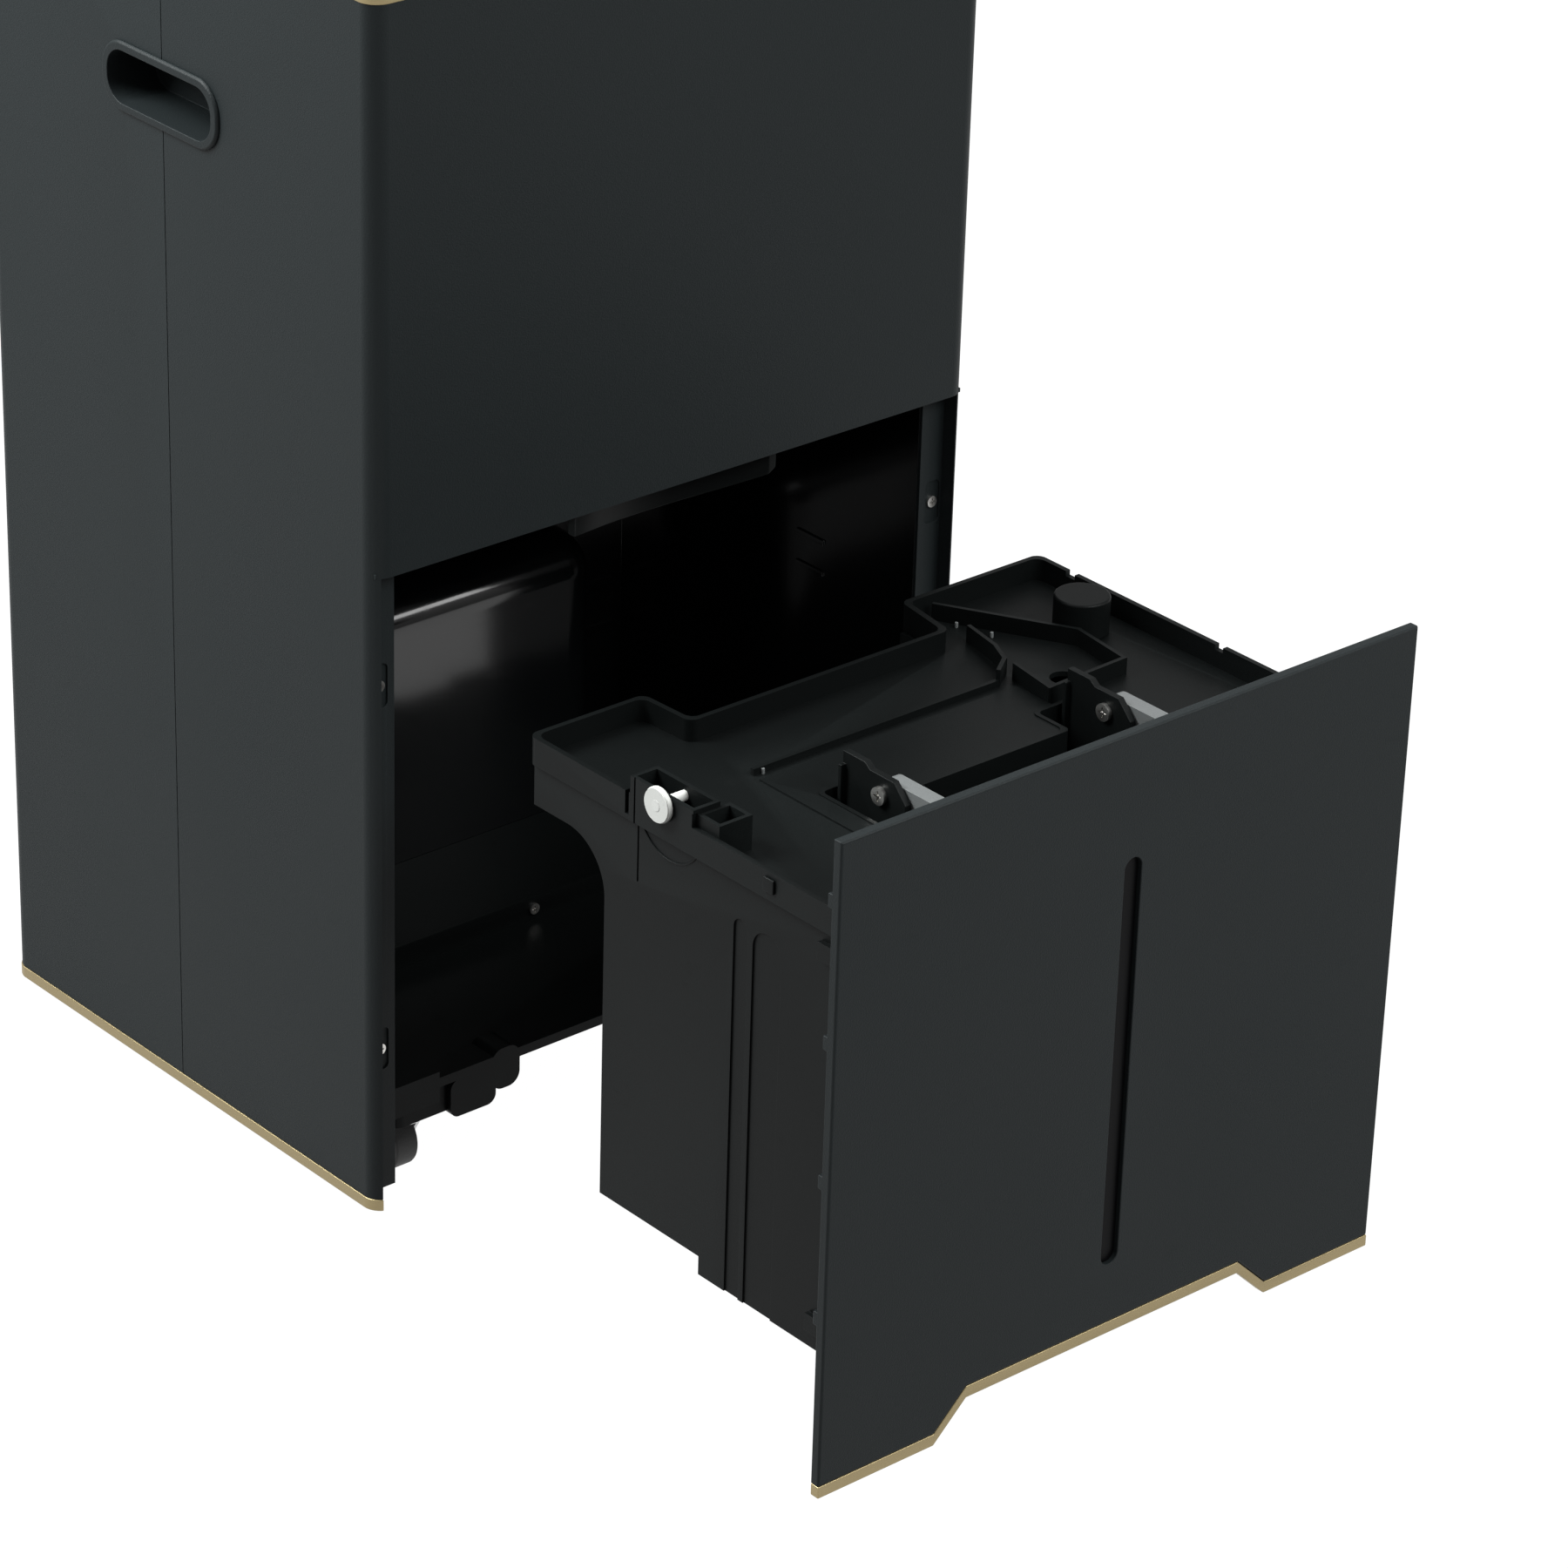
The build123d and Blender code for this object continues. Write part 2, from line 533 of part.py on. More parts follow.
def cross_screw(plane, radius, head, shank, length):
    """A pan-head screw with a cross recess; the plane faces out of the head."""
    rod(plane, radius, head)
    rod(plane, shank, -length)
    with BuildSketch(plane.offset(head)) as cross:
        Rectangle(radius * 1.2, 0.8)
        Rectangle(0.8, radius * 1.2)
    extrude(cross.sketch, amount=-head * 0.6, mode=Mode.SUBTRACT)


with BuildPart() as bay_screws:
    for x, z in SCREW_SPOTS:
        cross_screw(facing_front(x, FRONT + REBATE + 1.2, z), 3.4, 1.6, 1.6, 10)
    cross_screw(facing_front(2, LEDGE_FRONT, 77), 3.4, 1.6, 1.6, 8)
keep(bay_screws, "bay_screws")

with BuildPart() as rear_screws:
    for side in (-1, 1):
        for z in (60.0, 220.0, 400.0, 700.0):
            cross_screw(facing_rear(side * 185, REAR, z), 3.6, 1.8, 1.7, 10)
keep(rear_screws, "rear_screws")

with BuildPart() as intake_frame:
    block((-INTAKE_HALF, REAR - 14, INTAKE_LOW), (INTAKE_HALF, REAR, INTAKE_HIGH))
    low = (-INTAKE_HALF + 5.4, REAR - 9, INTAKE_LOW + 5.4)
    high = (INTAKE_HALF - 5.4, REAR + 5, INTAKE_HIGH - 5.4)
    block(low, high, Mode.SUBTRACT)
    with BuildSketch(facing_rear(0, REAR - 20, (INTAKE_LOW + INTAKE_HIGH) / 2)):
        with GridLocations(70, 20, 4, 12):
            RectangleRounded(62, 14, 2)
    extrude(amount=15, mode=Mode.SUBTRACT)
keep(intake_frame, "intake_frame")

FILTER_HALF = INTAKE_HALF - 5.9
FILTER_LOW = INTAKE_LOW + 5.9
FILTER_HIGH = INTAKE_HIGH - 5.9

with BuildPart() as filter_cassette:
    block((-FILTER_HALF, REAR - 8.6, FILTER_LOW), (FILTER_HALF, REAR - 0.5, FILTER_HIGH))
    with BuildSketch(facing_rear(0, REAR - 20, (FILTER_LOW + FILTER_HIGH) / 2)):
        with GridLocations(69, 58, 4, 4):
            RectangleRounded(63, 52, 3)
    extrude(amount=40, mode=Mode.SUBTRACT)
    block((-20, REAR - 1, FILTER_HIGH - 8), (20, REAR + 4, FILTER_HIGH - 3))
keep(filter_cassette, "filter_cassette")

with BuildPart() as filter_mesh:
    with BuildSketch(facing_rear(0, REAR - 5, (FILTER_LOW + FILTER_HIGH) / 2)):
        with GridLocations(69, 58, 4, 4):
            RectangleRounded(63, 52, 3)
    extrude(amount=1)
keep(filter_mesh, "filter_mesh")

# ---------------------------------------------------------------- tank


def tank_side(inset, top):
    """Side outline of the tank: stepped floor, upright back, arc up to the overhang under the lid."""
    front = from_front(PANEL_THICK + inset)
    floor = 75.0 + inset
    step = from_front(124.0 - inset)
    raised = 86.0 + inset
    back = from_front(206.0 - inset)
    shelf = 295.0 + inset
    rear = from_front(265.0 - inset)
    radius = 31.0 + inset
    with BuildLine() as outline:
        Polyline((front, top), (front, floor), (step, floor), (step, raised), (back, raised), (back, shelf - radius))
        RadiusArc((back, shelf - radius), (back + radius, shelf), radius)
        Polyline((back + radius, shelf), (rear, shelf), (rear, top), (front, top))
    make_face(outline.edges())


NOTCH_LEFT = -105.0
NOTCH_RIGHT = 76.0
NOTCH_FRONT = 230.0
SLIT_DEPTH = 178.8

with BuildPart() as tank_cavity:
    with BuildSketch(Plane.YZ.offset(-TANK_HALF + TANK_WALL)):
        tank_side(TANK_WALL, TANK_TOP + 5)
    extrude(amount=2 * (TANK_HALF - TANK_WALL))
    low = (NOTCH_LEFT - TANK_WALL, from_front(NOTCH_FRONT - TANK_WALL), 290)
    block(low, (NOTCH_RIGHT + TANK_WALL, from_front(300), 340), Mode.SUBTRACT)

with BuildPart() as tank_body:
    with BuildSketch(Plane.YZ.offset(-TANK_HALF)):
        tank_side(0, TANK_TOP)
    extrude(amount=2 * TANK_HALF)
    block((NOTCH_LEFT, from_front(NOTCH_FRONT), 290), (NOTCH_RIGHT, from_front(300), 340), Mode.SUBTRACT)
    fillet(tank_body.edges().filter_by(Axis.Z).sort_by(Axis.Y)[:2], 4)
    add(tank_cavity.part, mode=Mode.SUBTRACT)
    for side in (-1, 1):
        for low_depth, high_depth in ((66, 88), (92, 103)):
            middle = from_front((low_depth + high_depth) / 2)
            with BuildSketch(facing_side(side * TANK_HALF, middle, 182, side)):
                SlotOverall(232, high_depth - low_depth, rotation=90)
            extrude(amount=-0.9, mode=Mode.SUBTRACT)
        for z in (91, 308):
            inner, outer = sorted((side * (TANK_HALF - 0.5), side * (TANK_HALF + 3)))
            block((inner, from_front(25), z - 5), (outer, from_front(36), z + 5))
    for side in (-1, 1):
        inner, outer = sorted((side * (TANK_HALF - 1.4), side * (TANK_HALF + 0.1)))
        block((inner, from_front(12), TANK_TOP - 2.4), (outer, from_front(264), TANK_TOP + 1), Mode.SUBTRACT)
    slit = (-TANK_HALF - 0.1, from_front(SLIT_DEPTH + 1.2), 285)
    block(slit, (-TANK_HALF + 0.8, from_front(SLIT_DEPTH), TANK_TOP + 1), Mode.SUBTRACT)
keep(tank_body, "tank_body")

WELL_LEFT = -90.0
WELL_RIGHT = 69.0
WELL_FRONT = 20.0
WELL_BACK = 114.0
WELL_FLOOR = 290.0
POCKET_FRONT = 84.0
POCKET_BACK = 140.0
POCKETS = [(-90.0, -64.0), (62.0, 88.0)]


def well_part(left, right, front, back, grow):
    with Locations(((left + right) / 2, from_front((front + back) / 2))):
        Rectangle(right - left + 2 * grow, back - front + 2 * grow)


def hand_well(grow):
    """Plan of the well under the carry handle, with a pocket behind each end for a bracket."""
    well_part(WELL_LEFT, WELL_RIGHT, WELL_FRONT, WELL_BACK, grow)
    for left, right in POCKETS:
        well_part(left, right, POCKET_FRONT, POCKET_BACK, grow)


def low_walls(points):
    """Thin upright walls through a row of (x, depth) points on the lid."""
    for (x, depth), (next_x, next_depth) in zip(points, points[1:]):
        run = next_depth - depth
        length = hypot(next_x - x, run)
        with Locations(((x + next_x) / 2, from_front((depth + next_depth) / 2))):
            Rectangle(length + 2.4, 2.4, rotation=degrees(atan2(run, next_x - x)))


def lid_outline(inset):
    edge = TANK_HALF + LID_OVERHANG - inset
    front = from_front(PANEL_THICK + inset)
    notch = from_front(NOTCH_FRONT - inset)
    points = [
        (-edge, front),
        (-edge, from_front(267 - inset)),
        (NOTCH_LEFT - inset, from_front(267 - inset)),
        (NOTCH_LEFT - inset + 2, notch),
        (NOTCH_RIGHT + inset - 2, notch),
        (NOTCH_RIGHT + inset + 4, from_front(270 - inset)),
        (edge, from_front(270 - inset)),
        (edge, front),
    ]
    with BuildLine() as outline:
        FilletPolyline(*points, radius=6, close=True)
    make_face(outline.edges())


FLOAT_X = -138.0
FLOAT_PIVOT_DEPTH = 165.0
FLOAT_PIVOT_Z = 298.0

with BuildPart() as tank_lid:
    with BuildSketch(Plane.XY.offset(TANK_TOP)):
        lid_outline(0)
    extrude(amount=LID_RIM_TOP - TANK_TOP)
    with BuildSketch(Plane.XY.offset(LID_DECK)):
        lid_outline(3.2)
    extrude(amount=30, mode=Mode.SUBTRACT)
    block((-105, from_front(172), LID_DECK - 1), (76, from_front(74), LID_DECK + 1.2))
    with BuildSketch(Plane.XY.offset(WELL_FLOOR - 2.5)) as tub:
        hand_well(2.5)
        fillet(tub.vertices(), 5)
    extrude(amount=LID_DECK + 4.5 - WELL_FLOOR)
    with BuildSketch(Plane.XY.offset(WELL_FLOOR)) as well:
        hand_well(0)
        fillet(well.vertices(), 3.5)
    extrude(amount=60, mode=Mode.SUBTRACT)
    edge = TANK_HALF + LID_OVERHANG
    block((-edge, from_front(183), LID_DECK - 1), (-165, from_front(133), 346))
    block((-edge + 2.5, from_front(180.5), LID_DECK), (-167.5, from_front(135.5), 350), Mode.SUBTRACT)
    block((-edge, from_front(133.5), LID_DECK - 1), (-158, from_front(116), 343))
    block((-edge - 0.1, from_front(134), LID_RIM_TOP), (-edge + 3, from_front(115), 344), Mode.SUBTRACT)
    block((-177.5, from_front(131), LID_DECK), (-160.5, from_front(118.5), 350), Mode.SUBTRACT)
    rod(facing_side(-160, from_front(ROLLER_DEPTH), ROLLER_HEIGHT, -1), 3, 30, Mode.SUBTRACT)
    slit = (-edge - 0.1, from_front(SLIT_DEPTH + 1.2), TANK_TOP - 1)
    block(slit, (-edge + 0.8, from_front(SLIT_DEPTH), 347), Mode.SUBTRACT)
    block((-edge - 0.1, from_front(187), LID_DECK), (-edge + 4, from_front(184), 340), Mode.SUBTRACT)
    for near, far in ((120, 126), (237, 244)):
        block((edge - 4, from_front(far), LID_RIM_TOP - 3), (edge + 0.1, from_front(near), 340), Mode.SUBTRACT)
    block((-104, from_front(180.5), LID_DECK - 1), (70, from_front(178), LID_DECK + 4))
    with BuildSketch(Plane.XY.offset(LID_DECK - 1)):
        low_walls([(98, 262), (139, 190), (134, 149), (77, 147), (82, 179)])
        low_walls([(94, 229), (89, 203), (82, 188), (70, 179.5)])
    extrude(amount=11)
    rod(Plane(origin=(SPOUT_X, from_front(SPOUT_DEPTH), 310)), 8, 60, Mode.SUBTRACT)
    with BuildSketch(Plane.XY.offset(LID_DECK - 1)):
        with Locations((CAP_X, from_front(CAP_DEPTH))):
            Circle(CAP_RADIUS - 3.5)
    extrude(amount=11)
    rod(Plane(origin=(CAP_X, from_front(CAP_DEPTH), LID_DECK - 10)), CAP_RADIUS - 6, 30, Mode.SUBTRACT)
    for x in (FLOAT_X - 7, FLOAT_X + 4):
        block((x, from_front(FLOAT_PIVOT_DEPTH - 7), FLOAT_PIVOT_Z - 7), (x + 3, from_front(FLOAT_PIVOT_DEPTH + 7), 321))
    pivot = facing_side(FLOAT_X - 10, from_front(FLOAT_PIVOT_DEPTH), FLOAT_PIVOT_Z, 1)
    rod(pivot, 2.5 + RUN, 20, Mode.SUBTRACT)
keep(tank_lid, "tank_lid")

ARCH_FOOT = 80.0
ARCH_RUN = 22.0
ARCH_RISE = 21.0


def panel_foot(z):
    """Points of the panel's lower edge, left to right: foot, slope, arch, slope, foot."""
    foot = PANEL_HALF - ARCH_FOOT
    arch = foot - ARCH_RUN
    return [(-PANEL_HALF, z), (-foot, z), (-arch, z + ARCH_RISE), (arch, z + ARCH_RISE), (foot, z), (PANEL_HALF, z)]


SLOT_LOW = 73.0
SLOT_HIGH = 316.0
SLOT_WIDTH = 12.0

with BuildPart() as tank_front_panel:
    with BuildSketch(facing_front(0, from_front(PANEL_THICK), 0)):
        with BuildLine():
            corner = [(PANEL_HALF, PANEL_TOP), (-PANEL_HALF, PANEL_TOP), (-PANEL_HALF, SHELL_BOTTOM)]
            Polyline(*panel_foot(SHELL_BOTTOM), *corner)
        make_face()
        with Locations((0, (SLOT_LOW + SLOT_HIGH) / 2)):
            SlotOverall(SLOT_HIGH - SLOT_LOW, SLOT_WIDTH, rotation=90, mode=Mode.SUBTRACT)
    extrude(amount=PANEL_THICK)
    fillet(tank_front_panel.faces().sort_by(Axis.Y)[0].outer_wire().edges(), 1.5)
    for side in (-1, 1):
        for z in (110, 190, 270, 350):
            inner, outer = sorted((side * (PANEL_HALF - 3), side * PANEL_HALF))
            block((inner, from_front(PANEL_THICK - 0.5), z), (outer, from_front(PANEL_THICK + 3), z + 8))
keep(tank_front_panel, "tank_front_panel")

with BuildPart() as panel_trim:
    with BuildSketch(facing_front(0, from_front(PANEL_THICK), 0)):
        with BuildLine():
            Polyline(*panel_foot(TRIM_BOTTOM), *reversed(panel_foot(SHELL_BOTTOM)), panel_foot(TRIM_BOTTOM)[0])
        make_face()
    extrude(amount=PANEL_THICK)
keep(panel_trim, "panel_trim")

with BuildPart() as level_window:
    with BuildSketch(facing_front(0, from_front(PANEL_THICK), 0)):
        with Locations((0, (SLOT_LOW + SLOT_HIGH) / 2)):
            SlotOverall(SLOT_HIGH - SLOT_LOW, SLOT_WIDTH, rotation=90)
    extrude(amount=3)
keep(level_window, "level_window")

with BuildPart() as tank_feet:
    for x in (-150, 150):
        for depth in (31, 110):
            with Locations((x, from_front(depth), 72.4)):
                Cylinder(9, 5.2)
keep(tank_feet, "tank_feet")

with BuildPart() as lid_clips:
    for side in (-1, 1):
        inner, outer = sorted((side * (TANK_HALF + LID_OVERHANG), side * (TANK_HALF + LID_OVERHANG + 1.4)))
        block((inner, from_front(77), 325), (outer, from_front(69), 333))
keep(lid_clips, "lid_clips")

BRACKETS = [-79.0, 80.0]
BRACKET_THICK = 4.0
ARM_WIDTH = 10.0
SIDE_GAP = 1.0

with BuildPart() as bail_brackets:
    for x in BRACKETS:
        with BuildSketch(Plane.YZ.offset(x)) as plate:
            with BuildLine() as outline:
                Polyline((from_front(88), WELL_FLOOR), (from_front(137), WELL_FLOOR), (from_front(137), 347))
                Polyline((from_front(137), 347), (from_front(120), 347), (from_front(116), 344))
                Polyline((from_front(116), 344), (from_front(98), 344), (from_front(88), 334))
                Line((from_front(88), 334), (from_front(88), WELL_FLOOR))
            make_face(outline.edges())
        extrude(plate.sketch, amount=BRACKET_THICK)
        rod(facing_side(x - 1, from_front(PIVOT_DEPTH), PIVOT_HEIGHT, 1), 3.1, 8, Mode.SUBTRACT)
        block((x - 3, from_front(137), WELL_FLOOR), (x, from_front(134.5), 340))
keep(bail_brackets, "bail_brackets")

with BuildPart() as pivot_screws:
    for x in BRACKETS:
        far = x + BRACKET_THICK + ARM_WIDTH + SIDE_GAP + 0.6
        rod(facing_side(x - 0.2, from_front(PIVOT_DEPTH), PIVOT_HEIGHT, 1), 3, far - x + 0.4)
        rod(facing_side(far, from_front(PIVOT_DEPTH), PIVOT_HEIGHT, 1), 5, 1.6)
        rod(facing_side(x, from_front(PIVOT_DEPTH), PIVOT_HEIGHT, -1), 5, 2.4)
        with BuildSketch(facing_side(x - 2.4, from_front(PIVOT_DEPTH), PIVOT_HEIGHT, -1)) as cross:
            Rectangle(6, 1)
            Rectangle(1, 6)
        extrude(cross.sketch, amount=-1.2, mode=Mode.SUBTRACT)
keep(pivot_screws, "pivot_screws")

with BuildPart() as carry_handle:
    for x in BRACKETS:
        with BuildSketch(Plane.YZ.offset(x + BRACKET_THICK + SIDE_GAP)) as arm:
            with Locations((from_front(PIVOT_DEPTH - BAIL_REACH / 2), PIVOT_HEIGHT)):
                SlotOverall(BAIL_REACH + 14, 14)
        extrude(arm.sketch, amount=ARM_WIDTH)
    start = BRACKETS[0] + BRACKET_THICK + SIDE_GAP
    end = BRACKETS[1] + BRACKET_THICK + SIDE_GAP + ARM_WIDTH
    with BuildSketch(Plane.YZ.offset(start)) as bar:
        with Locations((from_front(PIVOT_DEPTH - BAIL_REACH), PIVOT_HEIGHT)):
            RectangleRounded(14, 12, 5)
    extrude(bar.sketch, amount=end - start)
    rod(facing_side(-120, from_front(PIVOT_DEPTH), PIVOT_HEIGHT, 1), 3 + RUN, 240, Mode.SUBTRACT)
keep(carry_handle, "carry_handle")

ARM_TOP = FLOAT_PIVOT_Z + 3.0
FLOAT_TOP = FLOAT_PIVOT_Z - 20.0

with BuildPart() as float_arm:
    block((FLOAT_X - 3.6, from_front(100), ARM_TOP - 9), (FLOAT_X + 3.6, from_front(FLOAT_PIVOT_DEPTH), ARM_TOP))
    rod(facing_side(FLOAT_X - 3.6, from_front(FLOAT_PIVOT_DEPTH), FLOAT_PIVOT_Z, 1), 6, 7.2)
    rod(facing_side(FLOAT_X - 7, from_front(FLOAT_PIVOT_DEPTH), FLOAT_PIVOT_Z, 1), 2.5, 14)
    block((FLOAT_X - 3.6, from_front(108), FLOAT_TOP), (FLOAT_X + 3.6, from_front(100), ARM_TOP - 8))
keep(float_arm, "float_arm")

with BuildPart() as float_block:
    block((FLOAT_X - 26, from_front(128), FLOAT_TOP - 34), (FLOAT_X + 26, from_front(80), FLOAT_TOP))
    fillet(float_block.edges(), 5)
keep(float_block, "float_block")

with BuildPart() as tank_cap:
    rod(Plane(origin=(CAP_X, from_front(CAP_DEPTH), LID_DECK + 0.4)), CAP_RADIUS, CAP_TOP - LID_DECK - 0.4)
    fillet(tank_cap.faces().sort_by(Axis.Z)[-1].edges(), 1.5)
    rod(Plane(origin=(CAP_X, from_front(CAP_DEPTH), LID_DECK)), CAP_RADIUS - 3.1, CAP_TOP - LID_DECK - 3, Mode.SUBTRACT)
keep(tank_cap, "tank_cap")

axle = facing_side(-183.3, from_front(ROLLER_DEPTH), ROLLER_HEIGHT, -1)
with BuildPart() as guide_roller:
    rod(axle, 10, 3)
    chamfer(guide_roller.edges().filter_by(GeomType.CIRCLE), 0.6)
    rod(axle.offset(-5), 3 + RUN, 20, Mode.SUBTRACT)
keep(guide_roller, "guide_roller")

with BuildPart() as roller_pin:
    rod(facing_side(-166, from_front(ROLLER_DEPTH), ROLLER_HEIGHT, -1), 3, 21)
keep(roller_pin, "roller_pin")
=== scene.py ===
import json
import math

import bpy
from mathutils import Matrix, Vector


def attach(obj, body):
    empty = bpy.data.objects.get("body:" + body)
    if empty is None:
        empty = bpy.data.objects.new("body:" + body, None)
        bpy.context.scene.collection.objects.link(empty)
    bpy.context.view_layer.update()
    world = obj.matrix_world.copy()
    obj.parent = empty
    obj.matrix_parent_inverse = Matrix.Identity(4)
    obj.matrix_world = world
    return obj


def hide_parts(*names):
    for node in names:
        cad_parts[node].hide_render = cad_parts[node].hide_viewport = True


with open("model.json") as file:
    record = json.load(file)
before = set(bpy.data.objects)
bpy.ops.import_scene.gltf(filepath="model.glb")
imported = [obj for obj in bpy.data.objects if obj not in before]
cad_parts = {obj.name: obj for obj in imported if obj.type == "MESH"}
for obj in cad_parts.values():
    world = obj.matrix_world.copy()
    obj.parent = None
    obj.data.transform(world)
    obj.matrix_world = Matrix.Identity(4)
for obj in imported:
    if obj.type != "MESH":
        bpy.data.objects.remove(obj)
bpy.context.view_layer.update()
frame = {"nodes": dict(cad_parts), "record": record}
nodes = frame["nodes"]
slotOf = {part["node"]: part["material_slot"] for part in frame["record"]["subparts"]}
bodyOf = {name: body for body, names in frame["record"]["behaviour"]["bodies"].items() for name in names}
print("frame loaded:", len(nodes), "nodes")

smoothBelow = math.radians(35)
sharpAbove = math.radians(38)
flatWithin = math.radians(0.8)
weldDistance = 0.00001


class Signal:
    # one shader value; sums and products of these become Math nodes
    def __init__(self, tree, socket):
        self.tree = tree
        self.socket = socket

    def add(self, kind, settings=None, inputs=None, output=0):
        node = self.tree.nodes.new(kind)
        for key, value in (settings or {}).items():
            setattr(node, key, value)
        for key, value in (inputs or {}).items():
            if isinstance(value, Signal):
                self.tree.links.new(value.socket, node.inputs[key])
            else:
                node.inputs[key].default_value = value
        return Signal(self.tree, node.outputs[output])

    def maths(self, operation, first, second):
        return self.add("ShaderNodeMath", {"operation": operation}, {0: first, 1: second})

    def __add__(self, other):
        return self.maths("ADD", self, other)

    def __radd__(self, other):
        return self.maths("ADD", other, self)

    def __sub__(self, other):
        return self.maths("SUBTRACT", self, other)

    def __rsub__(self, other):
        return self.maths("SUBTRACT", other, self)

    def __mul__(self, other):
        return self.maths("MULTIPLY", self, other)

    def __rmul__(self, other):
        return self.maths("MULTIPLY", other, self)

    def clipped(self, low, high):
        limits = {"Value": self, "From Min": low, "From Max": high}
        return self.add("ShaderNodeMapRange", {"clamp": True}, limits)

    def noise(self, scale, detail=3.0, roughness=0.5, stretch=None):
        place = self
        if stretch:
            place = self.add("ShaderNodeMapping", {}, {"Vector": self, "Scale": stretch})
        settings = {"Vector": place, "Scale": scale, "Detail": detail, "Roughness": roughness}
        return self.add("ShaderNodeTexNoise", {}, settings)

    def cells(self, scale):
        return self.add("ShaderNodeTexVoronoi", {"feature": "F1"}, {"Vector": self, "Scale": scale})

    def blend(self, factor, first, second):
        inputs = {"Factor": factor, 6: first, 7: second}
        return self.add("ShaderNodeMix", {"data_type": "RGBA"}, inputs, 2)


def newMaterial(name):
    material = bpy.data.materials.new(name)
    material.use_nodes = True
    tree = material.node_tree
    shader = tree.nodes["Principled BSDF"]
    coordinates = tree.nodes.new("ShaderNodeTexCoord")
    return material, tree, shader, Signal(tree, coordinates.outputs["Object"])


socketNames = {"colour": "Base Color", "rough": "Roughness", "normal": "Normal"}


def feed(tree, shader, **links):
    for key, value in links.items():
        tree.links.new(value.socket, shader.inputs[socketNames[key]])


def opaque(colour):
    return (*colour, 1.0)


def scaled(colour, amount):
    return tuple(min(1.0, c * amount) for c in colour)


def mouldedPlastic(name, look):
    # grain cells, broad tone drift, scuffs, and slightly paler edges: partly edge wear, partly a painted
    # highlight where rounded edges catch the light
    material, tree, shader, place = newMaterial(name)
    drift = place.noise(look["driftScale"], 3.0, 0.55)
    grain = place.cells(look["grainScale"])
    fine = place.noise(look["grainScale"] * 1.7, 2.0, 0.6)
    scuffs = place.noise(38.0, 8.0, 0.7, (1.0, 1.0, 3.5)).clipped(0.60, 0.74)
    pointiness = tree.nodes.new("ShaderNodeNewGeometry")
    edges = Signal(tree, pointiness.outputs["Pointiness"]).clipped(0.53, 0.62)
    # edge mask: real edge wear plus a painted highlight along edges that catch the light
    wear = edges * fine.clipped(0.35, 0.65)
    deep = opaque(scaled(look["colour"], 1 - look["drift"]))
    pale = opaque(scaled(look["colour"], 1 + look["drift"]))
    colour = place.blend(drift, deep, pale)
    grainPale = opaque(scaled(look["colour"], 1.9))
    colour = place.blend(grain.clipped(0.0, 0.9) * look["grainTone"], colour, grainPale)
    # paler edges mixed in: edge wear and a painted edge highlight
    colour = place.blend(wear * look["wear"], colour, opaque(scaled(look["colour"], 3.2)))
    rough = look["rough"] + (drift - 0.5) * 0.12 + scuffs * look["scuff"] + (fine - 0.5) * 0.08
    height = grain * 0.7 + fine * 0.3
    bumpInputs = {"Strength": look["bump"], "Distance": look["grainDepth"], "Height": height}
    feed(tree, shader, colour=colour, rough=rough, normal=place.add("ShaderNodeBump", {}, bumpInputs))
    shader.inputs["Specular IOR Level"].default_value = look.get("specular", 0.45)
    shader.inputs["Coat Weight"].default_value = look.get("coat", 0.0)
    shader.inputs["Coat Roughness"].default_value = look.get("coatRough", 0.1)
    return material


def satinMetal(name, look):
    # anodised or plated metal: brushing along one axis, cloudy roughness, rubbed edges
    material, tree, shader, place = newMaterial(name)
    brushed = place.noise(look["brushScale"], 4.0, 0.6, look["brushStretch"])
    cloud = place.noise(22.0, 3.0, 0.5)
    pointiness = tree.nodes.new("ShaderNodeNewGeometry")
    edges = Signal(tree, pointiness.outputs["Pointiness"]).clipped(0.52, 0.60)
    colour = place.blend(brushed, opaque(scaled(look["colour"], 0.86)), opaque(scaled(look["colour"], 1.1)))
    colour = place.blend(edges * 0.6, colour, opaque(scaled(look["colour"], 1.45)))
    rough = look["rough"] + (cloud - 0.5) * 0.14 + (brushed - 0.5) * 0.12
    bumpInputs = {"Strength": look["bump"], "Distance": 0.0002, "Height": brushed}
    feed(tree, shader, colour=colour, rough=rough, normal=place.add("ShaderNodeBump", {}, bumpInputs))
    shader.inputs["Metallic"].default_value = look["metal"]
    return material


def smokedGlass(name, look):
    material, tree, shader, place = newMaterial(name)
    haze = place.noise(60.0, 4.0, 0.6)
    colour = place.blend(haze, opaque(look["colour"]), opaque(scaled(look["colour"], 1.6)))
    rough = look["rough"] + haze * 0.08
    bumpInputs = {"Strength": 0.06, "Distance": 0.0003, "Height": place.noise(140.0)}
    feed(tree, shader, colour=colour, rough=rough, normal=place.add("ShaderNodeBump", {}, bumpInputs))
    shader.inputs["Specular IOR Level"].default_value = 0.06
    return material
